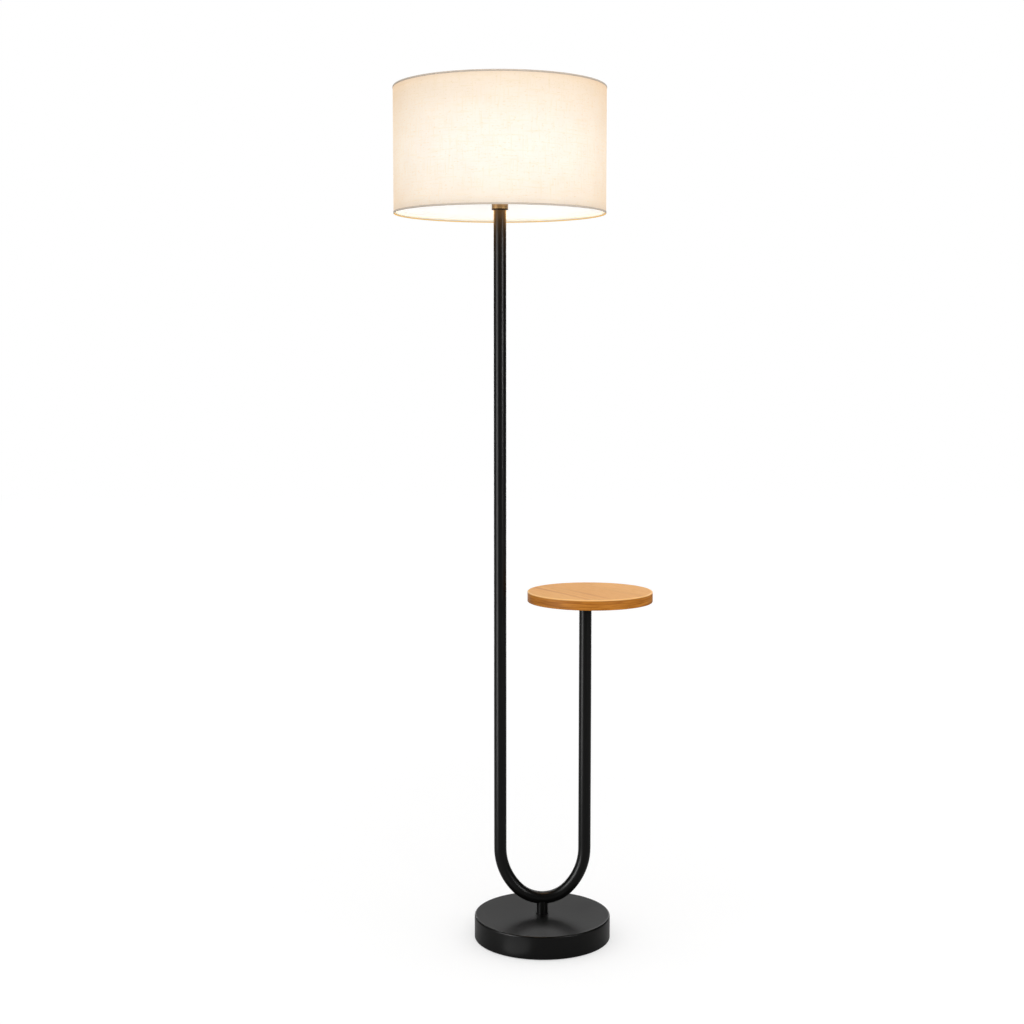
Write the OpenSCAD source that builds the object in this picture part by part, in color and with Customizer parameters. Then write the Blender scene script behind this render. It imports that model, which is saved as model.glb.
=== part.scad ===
// Floor lamp with a side table: a round weighted base carries a U-shaped tube on a short neck.
// One leg of the U goes on up as the lamp's post, and the other leg carries a round wooden table.
// The post ends in a lampholder with a harp, and a linen drum shade hangs on the harp's stud.
// Origin: centre of the base, on the floor. +Z is up, the post stands at -X and the table at +X.

/* [Base] */
// Diameter of the base
base_d = 242; // [210:2:320]
// Height of the base's top above the floor
base_h = 42; // [38:1:56]
// Wall of the pressed steel cover
cover_wall = 1.5; // [1:0.1:2.2]
// Outer radius of the cover's top edge
cover_edge_r = 3; // [2.5:0.5:6]
// Height of the cover's lower rim above the floor
cover_lift = 1.5; // [0.5:0.5:1.5]
// Thickness of the floor pad
pad_t = 3; // [2:0.5:4]
// How far the pad's edge lies inside the cover's edge
pad_inset = 5; // [3:0.5:12]
// Thickness of the iron weight's disc
weight_t = 15; // [14:1:18]
// Diameter of the weight's centre boss
boss_d = 64; // [52:2:80]
// Gap between the weight's rim and the cover
weight_gap = 0.5; // [0.3:0.1:2]
// Depth of the nut's pocket under the weight
pocket_h = 24; // [24:0.5:26]
// Diameter of the nut's pocket
pocket_d = 40; // [36:1:44]
// Height of the cord inlet's centre above the floor
inlet_h = 11; // [11:0.5:11.5]
// Bore of the inlet's grommet
inlet_bore_d = 6.2; // [5.5:0.1:7]
// Diameter of the grommet's flanges
inlet_flange_d = 15; // [14:0.5:16]

/* [Tube] */
// Outer diameter of the U tube and the post
tube_d = 22; // [20:0.5:26]
// Wall of the tube
tube_wall = 1.5; // [1:0.1:2]
// Distance between the axes of the post and the table's leg
leg_spacing = 150; // [130:2:200]
// How much tighter the bend's lowest arc is than a half circle, which also makes the bend deeper
bend_tighten = 11.5; // [4:0.5:16]
// Height of the neck between the base and the bend
neck_h = 18; // [16:1:40]
// Diameter of the neck
neck_d = 20; // [17:0.5:20]
// Diameter of the ring at the neck's foot
ring_d = 22.4; // [21:0.2:30]
// Height of that ring
ring_h = 2; // [1:0.5:4]
// Height of the post's top end above the floor
post_h = 1294; // [1150:1:1450]
// Height of the post's lower joint
lower_joint_h = 480; // [420:5:560]
// Height of the post's upper joint
upper_joint_h = 880; // [760:5:1000]
// Length of the couplers inside those joints
coupler_l = 60; // [40:2:90]
// Wall of the couplers
coupler_wall = 3; // [2:0.5:4]

/* [Table] */
// Diameter of the table top
table_d = 220; // [180:2:300]
// Thickness of the table top
table_t = 18; // [16:0.5:25]
// Height of the table's top face above the floor
table_h = 625; // [560:1:700]
// How far the table's centre lies outside the leg's axis
table_shift = 8; // [0:1:25]
// Rounding of the table's edges
table_edge_r = 1; // [0.5:0.5:3]
// Diameter of the flange under the table
flange_d = 62; // [56:1:80]
// Thickness of that flange
flange_t = 4; // [3:0.5:6]
// Circle of the flange's wood screws
screw_circle_d = 46; // [44:0.5:48]
// Length of the wood screws below their heads
screw_l = 14; // [10:1:14]
// Shank diameter of the wood screws
screw_d = 4; // [3.5:0.1:4.5]
// Length of the plug in the leg's top end
plug_l = 18; // [16:1:30]

/* [Lampholder] */
// Diameter of the brass collar
collar_d = 28.5; // [28:0.5:34]
// Height of the collar
collar_h = 14; // [13:1:20]
// How far the collar reaches down over the post
collar_lap = 8; // [7:0.5:9]
// Length of the threaded insert in the post's top end
insert_l = 16; // [14:1:30]
// Thickness of the harp's saddle strip
saddle_t = 1.5; // [1:0.1:2]
// Distance between the saddle's upright ends
saddle_w = 45; // [44:0.5:50]
// Outer diameter of the lampholder's shell
shell_d = 35; // [34.5:0.1:36]
// Height of the lampholder above the saddle
holder_h = 58; // [57:0.5:62]
// Diameter of the switch's knob
knob_d = 11; // [9:0.5:13]
// Length of the knob
knob_l = 13; // [10:0.5:16]
// Diameter of the knob's shaft
shaft_d = 4; // [3:0.1:5]

/* [Bulb] */
// Largest diameter of the bulb's globe
globe_d = 60; // [54:1:66]
// Overall length of the bulb
bulb_l = 106; // [102:1:112]
// Diameter of the bulb's screw cap
bulb_cap_d = 26.2; // [25.8:0.1:26.6]
// Wall of the globe
globe_wall = 0.8; // [0.5:0.1:1.5]

/* [Harp] */
// Height of the shade's seat above the saddle strip
harp_h = 174; // [174:1:200]
// Distance between the harp's two wires at its widest
harp_w = 100; // [92:1:120]
// Diameter of the harp's wire
harp_wire_d = 3; // [2.6:0.1:3.4]
// Diameter of the threaded stud on the harp
stud_d = 6; // [5.5:0.1:6.4]
// Length of that stud
stud_l = 12; // [10:0.5:14]

/* [Shade] */
// Outer diameter of the drum
shade_d = 365; // [300:1:420]
// Height of the drum
shade_h = 213; // [180:1:260]
// Thickness of the laminated linen wall
shade_wall = 0.8; // [0.5:0.1:1.5]
// Thickness of the edge trim
trim_t = 0.4; // [0.3:0.1:0.6]
// Height of the edge trim
trim_h = 3; // [2:0.5:6]
// Diameter of the wire rings inside the drum's ends
ring_wire_d = 4; // [3:0.1:5]
// Distance from the drum's edges to the centres of the rings
ring_inset = 3.5; // [3:0.1:6]
// How far the spider's washer lies below the upper ring
spider_drop = 12; // [8:0.5:14]
// Diameter of the spider's arms
arm_d = 3; // [2.4:0.1:3.6]
// Diameter of the spider's washer
washer_d = 26; // [22:1:32]
// Thickness of the spider's washer
washer_t = 2; // [1.5:0.1:3]

/* [Fits] */
// Clearance around threads and fitted pieces, per side
fit_gap = 0.05; // [0.03:0.01:0.08]
// Clearance around the finial's thread and the shade's washer, per side
stud_gap = 0.08; // [0.05:0.01:0.1]
// Clearance under pieces that turn or lift off, per side
seat_gap = 0.1; // [0.05:0.05:0.3]
// Clearance of the screw threads of the bulb and its holder, per side
bulb_gap = 0.6; // [0.4:0.1:0.8]

/* [Hidden] */
$fn = 96;
past = 1; // how far a cutting shape reaches past the face it opens
function thousandth(v) = round(1000 * v) / 1000;

// Threaded nipples of the neck and the lampholder, and the lead inside them
nipple_d = 10;
nipple_bore_d = 6.2;
lead_d = 4.6;
nut_across = 17;
nut_h = 6;
flat_washer_d = 26;
flat_washer_t = 1.6;

// Heights in the base
pocket_top = pad_t + pocket_h;
boss_top = base_h - cover_wall;
nut_z = pocket_top - flat_washer_t - nut_h;
nipple_low = nut_z - 1;
cover_in_r = base_d / 2 - cover_wall;
weight_r = cover_in_r - weight_gap;

// Neck and nipple
neck_z = base_h + ring_h;
nipple_high = base_h + neck_h - 3;
lead_hole_d = 8;

// The U: lowest centreline, start of the straight legs, and the radii and centres of its three arcs
post_x = -leg_spacing / 2;
leg_x = leg_spacing / 2;
tube_in_d = tube_d - 2 * tube_wall;
bend_low = base_h + neck_h + tube_d / 2;
// A side arc turns by this angle before it meets the lowest arc, which sets its radius
side_turn = 45;
// The lowest arc runs past the middle by this angle before it is cut there
middle_lap = 5;
low_r = leg_spacing / 2 - bend_tighten;
side_r = thousandth(leg_spacing / 2 + bend_tighten * cos(side_turn) / (1 - cos(side_turn)));
side_x = side_r - leg_spacing / 2;
low_z = bend_low + low_r;
straight_z = thousandth(low_z + (side_r - low_r) * sin(side_turn));

// Bends of the inner lead: under the nipple, and from the neck into the tube
lead_turn_r = 7;
curl_r = 9;
curl_z = low_z - sqrt(pow(low_r + curl_r, 2) - pow(curl_r, 2));
curl_turn = asin(curl_r / (low_r + curl_r));

// Table and its fixings
table_z = table_h - table_t;
leg_top = table_z - flange_t;
table_x = leg_x + table_shift;
bolt_d = 8;
bolt_head_d = 13;
bolt_head_h = 5;
bolt_l = 16;
screw_head_d = 7.5;
screw_head_h = 2.4;

// Lampholder: every height is counted from the top of the saddle strip
collar_z = post_h - collar_lap;
collar_top = collar_z + collar_h;
holder_z = collar_top + saddle_t;
holder_cap_h = 17;
holder_cap_wall = 0.8;
hub_h = 7;
hub_d = 15;
shell_low = 12;
shell_wall = 0.6;
liner_wall = 0.8;
liner_r = shell_d / 2 - shell_wall - 0.1;
body_r = liner_r - liner_wall - 0.2;
body_low = 14;
body_h = 20;
knob_h = 24;
knob_y = shell_d / 2 + 2;
shaft_in = 8;
contact_h = 1.5;
thread_r = bulb_cap_d / 2 + bulb_gap;
thread_wall = 0.5;
terminal_flat = 12.5;
terminal_head_d = 6;
terminal_head_h = 1.6;

// Bulb: heights from the tip of its contact
bulb_z = holder_z + body_low + body_h + contact_h + seat_gap;
cap_low = 7;
cap_high = 27;
cap_wall = 0.5;
neck_r = bulb_cap_d / 2 - cap_wall - 0.1;
globe_low = 23;
globe_z = bulb_l - globe_d / 2;
cone_low = 33;
cone_drop = 14;
cone_r = sqrt(pow(globe_d / 2, 2) - pow(cone_drop, 2)) - 0.5;

// Harp
seat_z = holder_z + harp_h;
boss_h = 8;
harp_boss_d = 10;
post_stub_h = 12;
curve_z = 20;
// The S-curves turn by the angle of a 3-4-5 triangle, so that they rise as far as they spread
curve_turn = atan2(4, 3);
curve_rise = harp_w - saddle_w;
curve_r = curve_rise / 1.6;
// A narrow band, a hair thicker than the wire, covers the place where the two curves of an S meet
band_turn = 0.2;
band_proud = 0.02;
arch_z = harp_h - boss_h / 2 - harp_w / 2;

// Shade
spider_z = seat_z + seat_gap + washer_t / 2;
ring_z = spider_z + spider_drop;
shade_top = ring_z + ring_inset;
shade_low = shade_top - shade_h;
drum_in_r = shade_d / 2 - shade_wall;
ring_r = drum_in_r - trim_t - ring_wire_d / 2;
arm_bend_r = 5;
finial_z = seat_z + 2 * seat_gap + washer_t;

black = "#1d1c1b";
steel = "#9a9a98";
brass = "#c9965a";
linen = "#f3e6d0";
oak = "#d9a468";

// ---- shared shapes

// Round rod along an arc in the XZ plane, about the origin; angles count from +X towards +Z
module arc_rod(r, from, to, d) {
    rotate([90, 0, 0]) rotate([0, 0, from]) rotate_extrude(angle = to - from) translate([r, 0]) circle(d = d);
}

// Upright tube with a through bore
module sleeve(d, bore, h) {
    difference() {
        cylinder(d = d, h = h);
        translate([0, 0, -past]) cylinder(d = bore, h = h + 2 * past);
    }
}

// Half profile of a disc with rounded outer edges: radii for the lower and the upper edge
module disc_profile(r, h, low_e, high_e) {
    difference() {
        square([r, h]);
        translate([r - low_e, 0]) square(low_e);
        translate([r - high_e, h - high_e]) square(high_e);
    }
    translate([r - low_e, low_e]) intersection() {
        circle(low_e);
        translate([0, -low_e]) square(low_e);
    }
    translate([r - high_e, h - high_e]) intersection() {
        circle(high_e);
        square(high_e);
    }
}

// Rod that rises from the origin along +Z and turns by an angle towards +X; its children go on from its end
module turned_rod(r, angle, d) {
    translate([r, 0, 0]) {
        arc_rod(r, 180, 180 - angle, d);
        rotate([0, angle, 0]) translate([-r, 0, 0]) children();
    }
}

// Rod along one half of the U: a straight leg at -X, its side arc and a little over half of the lowest arc
module half_u_rod(d, top) {
    translate([post_x, 0, straight_z]) {
        cylinder(d = d, h = top - straight_z);
        mirror([0, 0, 1]) turned_rod(side_r, side_turn, d) turned_rod(low_r, 90 - side_turn + middle_lap, d);
    }
}

// One half of the bent tube, open at its top end, with half of the wire's hole at the lowest point
module half_u(top) {
    difference() {
        half_u_rod(tube_d, top);
        half_u_rod(tube_in_d, top + past);
        translate([0, 0, bend_low - tube_d / 2 - past]) rotate([0, 0, 30])
            cylinder(d = lead_hole_d, h = tube_wall + past + 2);
        translate([0, -tube_d, bend_low - tube_d]) cube(2 * tube_d);
    }
}

// ---- base

// Pressed steel cover: a flat top plate with a rounded edge and a straight skirt, open below
module base_cover() {
    skirt_h = base_h - cover_lift;
    color(black) translate([0, 0, cover_lift]) difference() {
        rotate_extrude() disc_profile(base_d / 2, skirt_h, 0.4, cover_edge_r);
        translate([0, 0, -past]) rotate_extrude()
            disc_profile(cover_in_r, skirt_h - cover_wall + past, 0.1, cover_edge_r - cover_wall + 0.2);
        cylinder(d = nipple_d + 2 * fit_gap, h = skirt_h + past);
        translate([0, cover_in_r - past, inlet_h - cover_lift]) rotate([-90, 0, 0])
            cylinder(d = inlet_bore_d + 5 + 2 * fit_gap, h = cover_wall + 2 * past);
    }
}

// Cast iron weight: a disc with a centre boss up to the cover, a pocket for the nut and a wire channel
module base_weight() {
    channel_w = lead_d + 4.4;
    channel_top = inlet_h + channel_w / 2;
    color("#4a4a48") difference() {
        union() {
            translate([0, 0, pad_t]) cylinder(r = weight_r, h = weight_t);
            translate([0, 0, pad_t]) cylinder(d = boss_d, h = boss_top - pad_t);
        }
        translate([0, 0, pad_t - past]) cylinder(d = pocket_d, h = pocket_h + past);
        cylinder(d = nipple_d + 2 * fit_gap, h = base_h);
        translate([-channel_w / 2, 0, pad_t - past])
            cube([channel_w, base_d / 2, channel_top - pad_t + past]);
        translate([0, weight_r - 8, inlet_h]) rotate([-90, 0, 0])
            cylinder(d = inlet_flange_d + 2, h = 8 + past);
    }
}

// Dense felt pad under the weight, the lamp's foot
module base_pad() {
    color("#2b2b2b") cylinder(r = base_d / 2 - pad_inset, h = pad_t);
}

// Rubber grommet in the cover's rear wall: two flanges, a waist in the wall and the cord's bore
module cord_gland() {
    rim_t = 2.5;
    color("#151515") translate([0, cover_in_r, inlet_h]) rotate([-90, 0, 0]) difference() {
        union() {
            translate([0, 0, -rim_t - 0.3]) cylinder(d = inlet_flange_d, h = rim_t);
            translate([0, 0, -0.3]) cylinder(d = inlet_bore_d + 5, h = cover_wall + 0.6);
            translate([0, 0, cover_wall + 0.3]) cylinder(d = inlet_flange_d, h = rim_t);
        }
        translate([0, 0, -rim_t - past])
            cylinder(d = inlet_bore_d, h = 2 * rim_t + cover_wall + 2 * past);
    }
}

module base_washer() {
    color(steel) translate([0, 0, pocket_top - flat_washer_t])
        sleeve(flat_washer_d, nipple_d + 4 * fit_gap, flat_washer_t);
}

module base_nut() {
    color(steel) translate([0, 0, nut_z]) difference() {
        cylinder(d = nut_across / cos(30), h = nut_h, $fn = 6);
        translate([0, 0, -past]) cylinder(d = nipple_d + 2 * fit_gap, h = nut_h + 2 * past, $fn = 64);
    }
}

// ---- neck and tube

// Hollow threaded rod that clamps the neck, the cover and the weight together
module neck_nipple() {
    color(steel) translate([0, 0, nipple_low]) sleeve(nipple_d, nipple_bore_d, nipple_high - nipple_low);
}

module neck_ring() {
    color(black) translate([0, 0, base_h]) sleeve(ring_d, nipple_d + 2 * fit_gap, ring_h);
}

// Short neck, coped at its top to the underside of the bend
module neck_tube() {
    color(black) difference() {
        translate([0, 0, neck_z]) cylinder(d = neck_d, h = bend_low - neck_z - 1);
        translate([0, 0, low_z]) arc_rod(low_r, 240, 300, tube_d + 2 * fit_gap);
        translate([0, 0, neck_z - past])
            cylinder(d = nipple_d + 2 * fit_gap, h = nipple_high + 0.3 - neck_z + past);
        translate([0, 0, neck_z]) cylinder(d = lead_hole_d, h = tube_d);
    }
}

// The bent tube: the post's lowest length, the bend and the table's leg, in one piece
module u_tube() {
    color(black) {
        half_u(lower_joint_h);
        mirror([1, 0, 0]) half_u(leg_top);
    }
}

// Steel sleeve inside a joint of the post
module coupler(z) {
    coupler_d = tube_in_d - 2 * fit_gap;
    color(steel) translate([post_x, 0, z - coupler_l / 2])
        sleeve(coupler_d, coupler_d - 2 * coupler_wall, coupler_l);
}

// Straight length of the post between two heights
module post_length(low, high) {
    color(black) translate([post_x, 0, low]) sleeve(tube_d, tube_in_d, high - low);
}

// Threaded steel insert in the post's top end, for the lampholder's nipple
module post_insert() {
    color(steel) translate([post_x, 0, post_h - insert_l])
        sleeve(tube_in_d - 2 * fit_gap, nipple_d + 2 * fit_gap, insert_l);
}

// ---- table

// Threaded plug in the leg's top end
module leg_plug() {
    color(steel) translate([leg_x, 0, leg_top - plug_l])
        sleeve(tube_in_d - 2 * fit_gap, bolt_d + 2 * fit_gap, plug_l);
}

// Steel flange between the leg and the table, with four screw holes
module table_flange() {
    color(black) translate([leg_x, 0, leg_top]) difference() {
        cylinder(d = flange_d, h = flange_t);
        translate([0, 0, -past]) cylinder(d = bolt_d + 2 * fit_gap, h = flange_t + 2 * past);
        for (i = [0:3]) rotate([0, 0, 45 + 90 * i]) translate([screw_circle_d / 2, 0, -past])
            cylinder(d = screw_d + 0.6, h = flange_t + 2 * past);
    }
}

// Bolt that draws the flange down onto the leg
module table_bolt() {
    socket_across = 6;
    color(steel) translate([leg_x, 0, table_z]) difference() {
        union() {
            cylinder(d = bolt_head_d, h = bolt_head_h);
            translate([0, 0, -bolt_l]) cylinder(d = bolt_d, h = bolt_l + 0.5);
        }
        translate([0, 0, bolt_head_h - 3]) cylinder(d = socket_across / cos(30), h = 3 + past, $fn = 6);
    }
}

// Wood screw number i, driven up through the flange
module table_screw(i) {
    color(steel) translate([leg_x, 0, leg_top]) rotate([0, 0, 45 + 90 * i])
        translate([screw_circle_d / 2, 0, 0]) {
            difference() {
                translate([0, 0, -screw_head_h])
                    cylinder(d1 = screw_head_d - 2, d2 = screw_head_d, h = screw_head_h);
                translate([-screw_head_d, -0.5, -screw_head_h - past])
                    cube([2 * screw_head_d, 1, past + 1]);
            }
            cylinder(d = screw_d, h = screw_l - 2);
            translate([0, 0, screw_l - 2]) cylinder(d1 = screw_d, d2 = 1, h = 2);
        }
}

// Round wooden table top with softened edges, a pocket for the bolt's head and pilot holes
module table_top() {
    color(oak) difference() {
        translate([table_x, 0, table_z]) rotate_extrude()
            disc_profile(table_d / 2, table_t, table_edge_r, table_edge_r);
        translate([leg_x, 0, table_z - past]) cylinder(d = bolt_head_d + 5, h = bolt_head_h + 1 + past);
        for (i = [0:3]) translate([leg_x, 0, table_z - past]) rotate([0, 0, 45 + 90 * i])
            translate([screw_circle_d / 2, 0, 0])
            cylinder(d = screw_d + 2 * fit_gap, h = screw_l - flange_t + 0.5 + past);
    }
}

// ---- lampholder

// Turned brass collar over the post's end, with a groove and softened edges
module collar() {
    groove_h = 5;
    color(brass) translate([post_x, 0, collar_z]) difference() {
        rotate_extrude() disc_profile(collar_d / 2, collar_h, 0.6, 1);
        translate([0, 0, -past]) cylinder(d = tube_d + 2 * fit_gap, h = collar_lap + past);
        cylinder(d = nipple_d + 2 * fit_gap, h = collar_h + past);
        translate([0, 0, groove_h]) difference() {
            cylinder(d = collar_d + 2, h = 0.8);
            translate([0, 0, -past]) cylinder(d = collar_d - 1, h = 0.8 + 2 * past);
        }
    }
}

module top_nipple() {
    low = post_h - insert_l + 2;
    color(steel) translate([post_x, 0, low]) sleeve(nipple_d, nipple_bore_d, holder_z + hub_h - low);
}

// Brass strip under the lampholder with two upright ends for the harp
module harp_saddle() {
    saddle_plate_d = 20;
    color(brass) translate([post_x, 0, collar_top]) {
        difference() {
            union() {
                cylinder(d = saddle_plate_d, h = saddle_t);
                translate([-saddle_w / 2, -5, 0]) cube([saddle_w, 10, saddle_t]);
                for (side = [-1, 1]) translate([side * saddle_w / 2, 0, 0]) cylinder(d = 10, h = saddle_t);
            }
            translate([0, 0, -past]) cylinder(d = nipple_d + 2 * fit_gap, h = saddle_t + 2 * past);
        }
        for (side = [-1, 1]) translate([side * saddle_w / 2, 0, saddle_t])
            cylinder(d = harp_wire_d, h = post_stub_h);
    }
}

// Sliding sleeve that locks one end of the harp to the saddle
module ferrule(side) {
    color(brass) translate([post_x + side * saddle_w / 2, 0, holder_z + post_stub_h - 5])
        sleeve(harp_wire_d + 2.2, harp_wire_d + 2 * fit_gap, 10);
}

// Wire loop around the bulb, with a threaded stud on top that carries the shade
module harp() {
    color(brass) translate([post_x, 0, holder_z]) {
        for (side = [0, 1]) mirror([side, 0, 0]) {
            translate([saddle_w / 2, 0, post_stub_h]) cylinder(d = harp_wire_d, h = curve_z - post_stub_h);
            translate([saddle_w / 2 + curve_r, 0, curve_z]) {
                arc_rod(curve_r, 180, 180 - curve_turn, harp_wire_d);
                rotate([0, curve_turn, 0])
                    arc_rod(curve_r, 180 + band_turn, 180 - band_turn, harp_wire_d + band_proud);
            }
            translate([harp_w / 2 - curve_r, 0, curve_z + curve_rise])
                arc_rod(curve_r, 0, -curve_turn, harp_wire_d);
            translate([harp_w / 2, 0, curve_z + curve_rise])
                cylinder(d = harp_wire_d, h = arch_z - curve_z - curve_rise);
        }
        translate([0, 0, arch_z]) arc_rod(harp_w / 2, 0, 180, harp_wire_d);
        translate([0, 0, harp_h - boss_h]) cylinder(d = harp_boss_d, h = boss_h);
        translate([0, 0, harp_h - past]) cylinder(d = stud_d, h = stud_l + past);
    }
}

// Brass cup at the lampholder's foot, with a threaded hub
module socket_cap() {
    cap_r = shell_d / 2 + 0.1 + holder_cap_wall;
    cap_round = 9;
    color(brass) translate([post_x, 0, holder_z]) difference() {
        union() {
            difference() {
                rotate_extrude() disc_profile(cap_r, holder_cap_h, cap_round, 0.3);
                translate([0, 0, holder_cap_wall]) rotate_extrude()
                    disc_profile(cap_r - holder_cap_wall, holder_cap_h, cap_round - holder_cap_wall, 0.3);
            }
            cylinder(d = hub_d, h = hub_h);
        }
        translate([0, 0, -past]) cylinder(d = nipple_d + 2 * fit_gap, h = hub_h + 2 * past);
    }
}

// Brass shell of the lampholder, open at the top with a rolled bead, and a hole for the switch's shaft
module socket_shell() {
    shell_h = holder_h - shell_low;
    color(brass) translate([post_x, 0, holder_z]) difference() {
        union() {
            translate([0, 0, shell_low]) cylinder(d = shell_d, h = shell_h);
            translate([0, 0, holder_h - 1]) rotate_extrude() translate([shell_d / 2 - 0.2, 0]) circle(1);
        }
        translate([0, 0, shell_low - past])
            cylinder(r = shell_d / 2 - shell_wall, h = shell_h + 2 * past + 1);
        translate([0, 0, knob_h]) rotate([90, 0, 0]) cylinder(d = shaft_d + 1.4, h = shell_d);
    }
}

// Card sleeve that insulates the shell
module socket_liner() {
    liner_low = shell_low + 1;
    color("#b9a98a") translate([post_x, 0, holder_z]) difference() {
        translate([0, 0, liner_low])
            sleeve(2 * liner_r, 2 * (liner_r - liner_wall), holder_h - 1 - liner_low);
        translate([0, 0, knob_h]) rotate([90, 0, 0]) cylinder(d = shaft_d + 1.4, h = shell_d);
    }
}

// Moulded block of the lampholder with two terminal flats and the bore of the switch's shaft
module socket_body() {
    color("#2a2320") translate([post_x, 0, holder_z + body_low]) difference() {
        cylinder(r = body_r, h = body_h);
        for (side = [-1, 1]) translate([side * (terminal_flat + body_r / 2), 0, body_h / 2 - past])
            cube([body_r, 2 * body_r, body_h], center = true);
        translate([0, 0, knob_h - body_low]) rotate([90, 0, 0])
            cylinder(d = shaft_d + 2 * fit_gap, h = body_r + past);
        for (side = [-1, 1]) translate([0, 0, knob_h - body_low]) rotate([0, side * 90, 0])
            cylinder(d = 3.2, h = terminal_flat + past);
    }
}

// Threaded metal shell that takes the bulb's cap
module screw_shell() {
    color("#c8b070") translate([post_x, 0, holder_z + body_low + body_h])
        sleeve(2 * (thread_r + thread_wall), 2 * thread_r, holder_h - 1 - body_low - body_h);
}

module centre_contact() {
    color(brass) translate([post_x, 0, holder_z + body_low + body_h]) cylinder(d = 8, h = contact_h);
}

// Terminal screw on one flat of the block
module terminal_screw(side) {
    color(side < 0 ? brass : steel) translate([post_x, 0, holder_z + knob_h]) rotate([0, side * 90, 0]) {
        translate([0, 0, terminal_flat]) cylinder(d = terminal_head_d, h = terminal_head_h);
        translate([0, 0, terminal_flat - 6]) cylinder(d = 3, h = 6);
    }
}

// Fluted knob and shaft of the rotary switch
module switch_knob() {
    flutes = 10;
    color("#1a1614") translate([post_x, 0, holder_z + knob_h]) rotate([90, 0, 0]) {
        translate([0, 0, shaft_in]) cylinder(d = shaft_d, h = knob_y - shaft_in + 1);
        translate([0, 0, knob_y]) difference() {
            rotate_extrude() disc_profile(knob_d / 2, knob_l, 0.4, 1.2);
            for (i = [0:flutes - 1]) rotate([0, 0, 360 * i / flutes]) translate([knob_d / 2 + 0.6, 0, 2])
                cylinder(d = 2.4, h = knob_l, $fn = 24);
        }
    }
}

// Points of the lead's route: each is [place, direction, sideways], ready for a ring of corners
function arc_step(i, n, from, to) = from + (to - from) * i / n;
function yz_point(y, z, a) = [[0, y, z], [0, cos(a), sin(a)], [1, 0, 0]];
function xz_point(x, z, a) = [[x, 0, z], [cos(a), 0, sin(a)], [sin(a), 0, -cos(a)]];
function lead_route() = [
    yz_point(cover_in_r - 24, inlet_h, 180),
    for (i = [0:4]) let (a = arc_step(i, 4, 0, 90))
        yz_point(lead_turn_r * (1 - sin(a)), inlet_h + lead_turn_r * (1 - cos(a)), 180 - a),
    for (i = [0:4]) let (a = arc_step(i, 4, 0, 90 - curl_turn))
        xz_point(curl_r * (cos(a) - 1), curl_z + curl_r * sin(a), 90 + a),
    for (i = [1:8]) let (a = arc_step(i, 8, curl_turn, 90 - side_turn))
        xz_point(-low_r * sin(a), low_z - low_r * cos(a), 180 - a),
    for (i = [1:4]) let (a = arc_step(i, 4, side_turn, 0))
        xz_point(side_x - side_r * cos(a), straight_z - side_r * sin(a), 90 + a),
    xz_point(post_x, holder_z + hub_h, 90)
];

// Wire that runs from the inlet through the base, the neck, the bend and the post to the lampholder
module inner_lead() {
    sides = 10;
    route = lead_route();
    last = len(route) - 1;
    rings = [
        for (p = route) let (up = cross(p[1], p[2])) for (k = [0:sides - 1])
            p[0] + lead_d / 2 * (cos(360 * k / sides) * p[2] + sin(360 * k / sides) * up)
    ];
    color("#3a3a3a") polyhedron(points = rings, faces = [
        [for (k = [0:sides - 1]) k],
        for (i = [0:last - 1]) for (k = [0:sides - 1]) let (n = (k + 1) % sides)
            each [
                [sides * i + k, sides * (i + 1) + k, sides * i + n],
                [sides * i + n, sides * (i + 1) + k, sides * (i + 1) + n]
            ],
        [for (k = [sides - 1:-1:0]) sides * last + k]
    ]);
}

// One of the two wires that leave the lead and rise to the terminal screws
module lead_wire(side) {
    wire_d = 1.6;
    start_x = 0.9;
    fork_r = 2.6;
    rise_x = terminal_flat + 1.4;
    top = knob_h - terminal_head_d / 2 - 0.1;
    color(side < 0 ? "#22211f" : "#e8e4da") translate([post_x, 0, holder_z + hub_h])
        mirror([side < 0 ? 1 : 0, 0, 0]) {
            translate([start_x + fork_r, 0, 0]) arc_rod(fork_r, 90, 180, wire_d);
            translate([start_x + fork_r, 0, fork_r]) rotate([0, 90, 0])
                cylinder(d = wire_d, h = rise_x - start_x - 2 * fork_r);
            translate([rise_x - fork_r, 0, 2 * fork_r]) arc_rod(fork_r, 270, 360, wire_d);
            translate([rise_x, 0, 2 * fork_r]) cylinder(d = wire_d, h = top - hub_h - 2 * fork_r);
        }
}

// ---- bulb

// Half profile of the globe, drawn in by t all round: a ball on a cone that narrows to a straight neck
module globe_profile(t) {
    intersection() {
        union() {
            translate([0, globe_z]) circle(globe_d / 2 - t);
            polygon([
                [0, globe_low - t], [neck_r - t, globe_low - t], [neck_r - t, cone_low],
                [cone_r - t, globe_z - cone_drop], [0, globe_z - cone_drop]
            ]);
        }
        translate([0, globe_low - t - past]) square([globe_d, bulb_l + 2 * past]);
    }
}

module bulb_globe() {
    color("#fff4dc") translate([post_x, 0, bulb_z]) rotate_extrude() difference() {
        globe_profile(0);
        globe_profile(globe_wall);
    }
}

module bulb_cap() {
    color("#c9c9c6") translate([post_x, 0, bulb_z + cap_low])
        sleeve(bulb_cap_d, bulb_cap_d - 2 * cap_wall, cap_high - cap_low);
}

module bulb_insulator() {
    tip = 1.6;
    color("#1c1c1c") translate([post_x, 0, bulb_z]) {
        translate([0, 0, tip]) cylinder(d1 = 11, d2 = bulb_cap_d - 1, h = cap_low - tip);
        translate([0, 0, cap_low]) cylinder(d = bulb_cap_d - 2 * cap_wall - 0.2, h = 2);
    }
}

module bulb_contact() {
    color("#bdbdb8") translate([post_x, 0, bulb_z]) rotate_extrude() disc_profile(4.5, 1.6, 0.8, 0.2);
}

// ---- shade

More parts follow.
